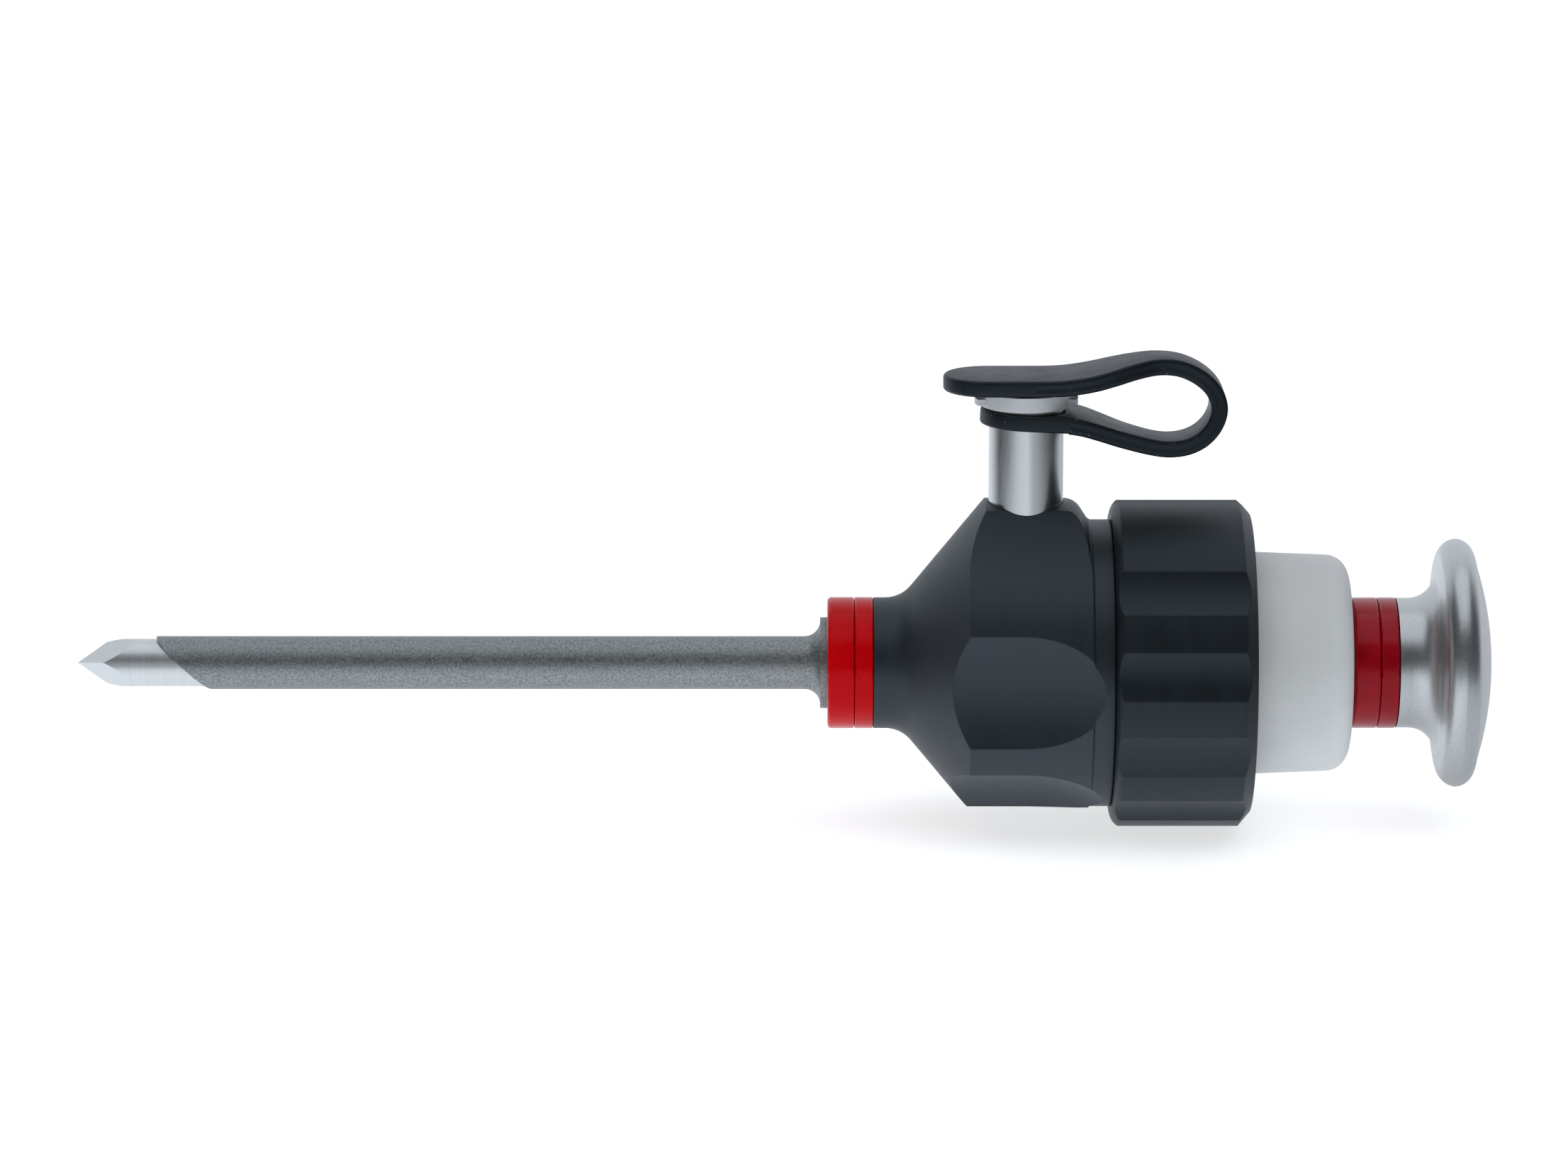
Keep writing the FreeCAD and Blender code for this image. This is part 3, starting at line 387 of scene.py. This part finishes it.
def paddle(name, left, right, width, low, height, edge, bore=0.0):
    # a plate with a round left end; its right end is left square for the strap
    s = stopper
    clearSelection()
    centre = (portX + (left + right) / 2, 0, low)
    bpy.ops.mesh.primitive_plane_add(size=1, location=centre)
    bpy.context.object.scale = (right - left, width, 1)
    bpy.ops.object.transform_apply(location=True, rotation=False, scale=True)
    piece = beginPiece(name)
    farLeft, farRight = portX + left + slack, portX + right - slack
    pickVertices(piece, lambda p: p.x < farLeft)
    bpy.ops.mesh.bevel(offset=width / 2 * s["endShare"], segments=s["endSteps"],
                       affect="VERTICES")
    bpy.ops.mesh.select_all(action="SELECT")
    bpy.ops.mesh.extrude_region_move(TRANSFORM_OT_translate={"value": (0, 0, height)})
    bpy.ops.mesh.select_all(action="SELECT")
    bpy.ops.mesh.normals_make_consistent(inside=False)
    if bore:
        cutBore(piece, bore, low + height / 2)

    def atBore(p):
        return math.hypot(p.x - portX, p.y) < bore + s["eyeBoreRim"]

    def onRim(a, b):
        return abs(a.z - b.z) < slack and atBore(a) == atBore(b) and min(a.x, b.x) < farRight

    pickEdges(piece, onRim)
    bpy.ops.mesh.bevel(offset=edge, segments=s["edgeSteps"], affect="EDGES")
    return piece


def makeTab():
    s = stopper
    tab = paddle("stopperTab", s["tabLeft"], s["tabRight"], s["tabWidth"], s["tabLow"],
                 s["thickness"], s["edge"])
    endPiece(tab, "strap")
    clearSelection()
    depth = s["tabLow"] - s["plugLow"] + s["plugSunk"]
    bpy.ops.mesh.primitive_cone_add(vertices=s["plugSides"], radius1=s["plugFoot"],
                                    radius2=s["plugTop"], depth=depth,
                                    location=(portX, 0, s["plugLow"] + depth / 2))
    plug = beginPiece("stopperPlug")
    foot = s["plugLow"] + slack
    pickEdges(plug, lambda a, b: max(a.z, b.z) < foot)
    bpy.ops.mesh.bevel(offset=s["plugEdge"], segments=s["plugEdgeSteps"], affect="EDGES")
    endPiece(plug, "strap")
    return [tab, plug]


def makeEyelet():
    s = stopper
    eyelet = paddle("stopperEyelet", s["eyeLeft"], s["eyeRight"], s["eyeWidth"], s["eyeLow"],
                    s["eyeHeight"], s["eyeEdge"], s["eyeBore"])
    bpy.ops.mesh.select_all(action="SELECT")
    bpy.ops.transform.rotate(value=-math.radians(s["eyeTilt"]), orient_axis="Y",
                             orient_type="GLOBAL", center_override=(portX, 0, s["eyePivot"]))
    return endPiece(eyelet, "strap")


strap = {
    "steps": 6, "seam": 0.05 * mm, "seamCuts": 3,
    "line": [  # reach from the port's axis, height of the middle, width across
        (0.6, 21.0, 6.7), (1.5, 21.01, 6.7), (2.7, 21.07, 6.7), (3.9, 21.22, 6.7),
        (5.1, 21.45, 6.6), (6.4, 21.78, 6.1), (7.9, 22.15, 5.0), (9.43, 22.38, 4.0),
        (10.95, 22.27, 3.55), (12.25, 21.75, 3.5), (13.28, 20.94, 3.6), (13.86, 19.95, 3.75),
        (13.95, 18.95, 3.9), (13.52, 17.88, 4.05), (12.70, 17.02, 4.15), (11.60, 16.50, 4.15),
        (10.3, 16.34, 4.1), (8.9, 16.53, 4.1), (7.0, 17.05, 4.6), (5.4, 17.62, 5.5),
        (4.3, 18.0, 6.2), (3.6, 18.17, 6.5), (3.05, 18.26, 6.6),
    ],
}


def makeStrap():
    # a rounded section extruded station by station along the loop
    points = [Vector((portX + x * mm, w * mm, z * mm)) for x, z, w in strap["line"]]
    path = smoothPath(points, strap["steps"])
    start = path[0]
    clearSelection()
    bpy.ops.mesh.primitive_plane_add(size=1, location=(start.x, 0, start.z),
                                     rotation=(0, math.pi / 2, 0))
    bpy.context.object.scale = (stopper["thickness"], start.y, 1)
    bpy.ops.object.transform_apply(location=True, rotation=True, scale=True)
    band = beginPiece("stopperStrap")
    bpy.ops.mesh.bevel(offset=stopper["edge"], segments=stopper["edgeSteps"], affect="VERTICES")
    side = start.y / 2 - slack
    pickEdges(band, lambda a, b: min(abs(a.y), abs(b.y)) > side)
    bpy.ops.mesh.subdivide(number_cuts=strap["seamCuts"])
    # the mould's parting line, a shallow groove along both sides
    pickVertices(band, lambda p: abs(p.y) > side and abs(p.z - start.z) < slack)
    narrowed = 1 - 2 * strap["seam"] / start.y
    bpy.ops.transform.resize(value=(1, narrowed, 1), center_override=(start.x, 0, start.z))
    bpy.ops.mesh.select_all(action="SELECT")
    heading = 0.0
    for i in range(1, len(path)):
        last, here = path[i - 1], path[i]
        after = path[min(i + 1, len(path) - 1)]
        turn = math.atan2(after.z - last.z, after.x - last.x)
        swing = (turn - heading + math.pi) % (2 * math.pi) - math.pi
        heading += swing
        step = (here.x - last.x, 0, here.z - last.z)
        bpy.ops.mesh.extrude_region_move(TRANSFORM_OT_translate={"value": step})
        centre = (here.x, 0, here.z)
        bpy.ops.transform.rotate(value=swing, orient_axis="Y", orient_type="GLOBAL",
                                 center_override=centre)
        bpy.ops.transform.resize(value=(1, here.y / last.y, 1), orient_type="GLOBAL",
                                 center_override=centre)
    return endPiece(band, "strap", angle=50)


tabPieces = makeTab()
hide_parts("port_stopper")
for piece in tabPieces:
    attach(piece, "stopper_plug")
eyeletPiece = makeEyelet()
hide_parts("stopper_ring")
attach(eyeletPiece, "stopper_ring")
strapPiece = makeStrap()
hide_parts("stopper_strap")
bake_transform(strapPiece)
print("stopper modelled")


# spigot thread under the cap

thread = {
    "root": 9.56 * mm, "crest": 9.84 * mm, "pitch": 1.5 * mm, "left": 23.6 * mm,
    "turns": 3, "steps": 72,
    "rootShare": 0.7, "crestShare": 0.25,  # root width of the pitch, crest width of the root's
}


def makeThread():
    # one ridge section swept round the axis; its ends run out on the spigot
    t = thread
    clearSelection()
    bpy.ops.mesh.primitive_plane_add(size=1, location=(t["left"], 0, t["root"]),
                                     rotation=(math.pi / 2, 0, 0))
    bpy.context.object.scale = (t["pitch"] * t["rootShare"], t["crest"] - t["root"], 1)
    bpy.ops.object.transform_apply(location=True, rotation=True, scale=True)
    ridge = beginPiece("spigotThread")
    lift = (t["crest"] - t["root"]) / 2
    bpy.ops.transform.translate(value=(0, 0, lift))
    middle = t["root"] + lift
    pickVertices(ridge, lambda p: p.z > middle)
    bpy.ops.transform.resize(value=(t["crestShare"], 1, 1),
                             center_override=(t["left"], 0, t["crest"]))
    bpy.ops.object.mode_set(mode="OBJECT")
    screw = ridge.modifiers.new("helix", "SCREW")
    screw.axis = "X"
    screw.angle = 2 * math.pi * t["turns"]
    screw.screw_offset = t["pitch"] * t["turns"]
    screw.steps = screw.render_steps = t["steps"] * t["turns"]
    bpy.ops.object.modifier_apply(modifier="helix")
    return endPiece(ridge, "black", angle=30)


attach(makeThread(), "cannula_body")
print("thread modelled")


# studio

studio = {
    "left": -85 * mm, "right": 125 * mm, "depth": 0.84, "drop": 0.3 * mm,  # the sweep paper
    "table": 0.5, "seen": 0.66,  # glow given out, seen by the camera
    "riseFrom": -5 * mm, "riseTo": 20 * mm, "dull": 0.70, "bright": 0.84,  # painted light on the floor, seen only in metal, rising by X
    "fadeFrom": 30 * mm, "fadeTo": 52 * mm, "rest": 0.3,  # and its share past the knob, a painted shade in what metal mirrors
    "fill": 0.3, "dim": 0.08, "white": 1.0,  # room light, dark behind the camera, white behind
    "tint": "#edf3fa",  # of the lamp, and of all that the part mirrors
    "sweepFrom": 0.08, "sweepTo": 0.6,  # where dim turns to white, by the ray's Y
    "lampPlace": (-0.04, -0.15, 0.56), "lampSize": (0.9, 0.7), "lampPower": 1.9,
}


def anyRay(tree, names):
    # 1 for the kinds of ray in names, else 0
    rays = addNode(tree, "ShaderNodeLightPath")
    total = rays.outputs[names[0]]
    for name in names[1:]:
        total = addNode(tree, "ShaderNodeMath", {"operation": "MAXIMUM"},
                        {0: total, 1: rays.outputs[name]}).outputs[0]
    return total


def makeFloor():
    # a narrow sweep: past its sides polished metal mirrors the dim studio
    s = studio
    middle = ((s["left"] + s["right"]) / 2, 0, cadLow.z - s["drop"])
    clearSelection()
    bpy.ops.mesh.primitive_plane_add(size=1, location=middle)
    floor = bpy.context.object
    floor.name = "studioFloor"
    floor.scale = (s["right"] - s["left"], s["depth"], 1)
    bpy.ops.object.transform_apply(location=True, rotation=True, scale=True)
    material, tree, surface, place = newMaterial("white sweep paper", {})
    addPattern(tree, surface, place,
               {"dark": "#f0f1f2", "pale": "#f4f5f6", "size": 4.0, "rough": (0.88, 0.92)})
    # painted light and shade on the floor that only glossy and transmission rays see: dimmer to the
    # left, brighter along X, darker past the knob
    along = addNode(tree, "ShaderNodeSeparateXYZ", {}, {"Vector": place}).outputs["X"]
    rise = addNode(tree, "ShaderNodeMapRange",
                   {"From Min": s["riseFrom"], "From Max": s["riseTo"], "To Min": s["dull"],
                    "To Max": s["bright"]}, {"Value": along})
    fade = addNode(tree, "ShaderNodeMapRange",
                   {"From Min": s["fadeFrom"], "From Max": s["fadeTo"], "To Min": 1.0,
                    "To Max": s["rest"]}, {"Value": along})
    paintedPool = addNode(tree, "ShaderNodeMath", {"operation": "MULTIPLY"}, {0: rise, 1: fade})
    metal = anyRay(tree, ("Is Glossy Ray", "Is Transmission Ray"))
    given = addNode(tree, "ShaderNodeMix", {"data_type": "FLOAT", "A": s["table"]},
                    {"Factor": metal, "B": paintedPool})
    seen = anyRay(tree, ("Is Camera Ray",))
    glow = addNode(tree, "ShaderNodeMix", {"data_type": "FLOAT", "B": s["seen"]},
                   {"Factor": seen, "A": given})
    tree.links.new(glow.outputs[0], surface.inputs["Emission Strength"])
    tint = addNode(tree, "ShaderNodeMix", {"data_type": "RGBA", 6: toLinear(s["tint"]),
                                           7: (1, 1, 1, 1)}, {0: seen})
    tree.links.new(tint.outputs[2], surface.inputs["Emission Color"])
    floor.data.materials.append(material)


def makeWorld():
    # white behind the part, a dim studio beside it and behind the camera
    s = studio
    world = bpy.data.worlds.new("studio")
    bpy.context.scene.world = world
    world.use_nodes = True
    tree = world.node_tree
    tree.nodes.clear()
    direction = addNode(tree, "ShaderNodeTexCoord").outputs["Generated"]
    split = addNode(tree, "ShaderNodeSeparateXYZ", {}, {"Vector": direction})
    sweep = addNode(tree, "ShaderNodeMapRange",
                    {"From Min": s["sweepFrom"], "From Max": s["sweepTo"], "To Min": s["dim"],
                     "To Max": s["white"]},
                    {"Value": split.outputs["Y"]})
    mirrored = addNode(tree, "ShaderNodeMix", {"data_type": "FLOAT", "A": s["fill"]},
                       {"Factor": anyRay(tree, ("Is Glossy Ray",)), "B": sweep})
    seen = anyRay(tree, ("Is Camera Ray", "Is Transmission Ray"))
    strength = addNode(tree, "ShaderNodeMix", {"data_type": "FLOAT", "B": s["white"]},
                       {"Factor": seen, "A": mirrored})
    tint = addNode(tree, "ShaderNodeMix", {"data_type": "RGBA", 6: toLinear(s["tint"]),
                                           7: (1, 1, 1, 1)}, {0: seen})
    shader = addNode(tree, "ShaderNodeBackground", {},
                     {"Strength": strength, "Color": tint.outputs[2]})
    addNode(tree, "ShaderNodeOutputWorld", {}, {"Surface": shader})


def addSoftbox():
    # a flat lamp that looks straight down
    data = bpy.data.lights.new("overheadBox", "AREA")
    data.shape = "RECTANGLE"
    data.size, data.size_y = studio["lampSize"]
    data.energy = studio["lampPower"]
    data.color = toLinear(studio["tint"])[:3]
    lamp = bpy.data.objects.new("overheadBox", data)
    bpy.context.scene.collection.objects.link(lamp)
    lamp.location = studio["lampPlace"]


photo = {"width": 2212, "pixelsPerMm": 19.2, "distance": 480 * mm, "elevation": 12.5,
         "aimX": -1.5 * mm, "aimUp": 5.48 * mm, "sensor": 36, "clip": (0.01, 20)}


def makeCamera():
    e = math.radians(photo["elevation"])
    back = Vector((0, -math.cos(e), math.sin(e)))
    up = Vector((0, math.sin(e), math.cos(e)))
    target = Vector((photo["aimX"], 0, 0)) + up * photo["aimUp"]
    data = bpy.data.cameras.new("photoCamera")
    data.sensor_width = photo["sensor"]
    focalPixels = photo["pixelsPerMm"] * photo["distance"] / mm
    data.lens = focalPixels / photo["width"] * data.sensor_width
    data.clip_start, data.clip_end = photo["clip"]
    camera = bpy.data.objects.new("photoCamera", data)
    bpy.context.scene.collection.objects.link(camera)
    camera.location = target + back * photo["distance"]
    camera.rotation_mode = "QUATERNION"
    camera.rotation_quaternion = (-back).to_track_quat("-Z", "Y")
    bpy.context.scene.camera = camera
    bpy.context.scene.view_settings.view_transform = "Standard"


makeFloor()
makeWorld()
addSoftbox()
makeCamera()
print("studio ready")
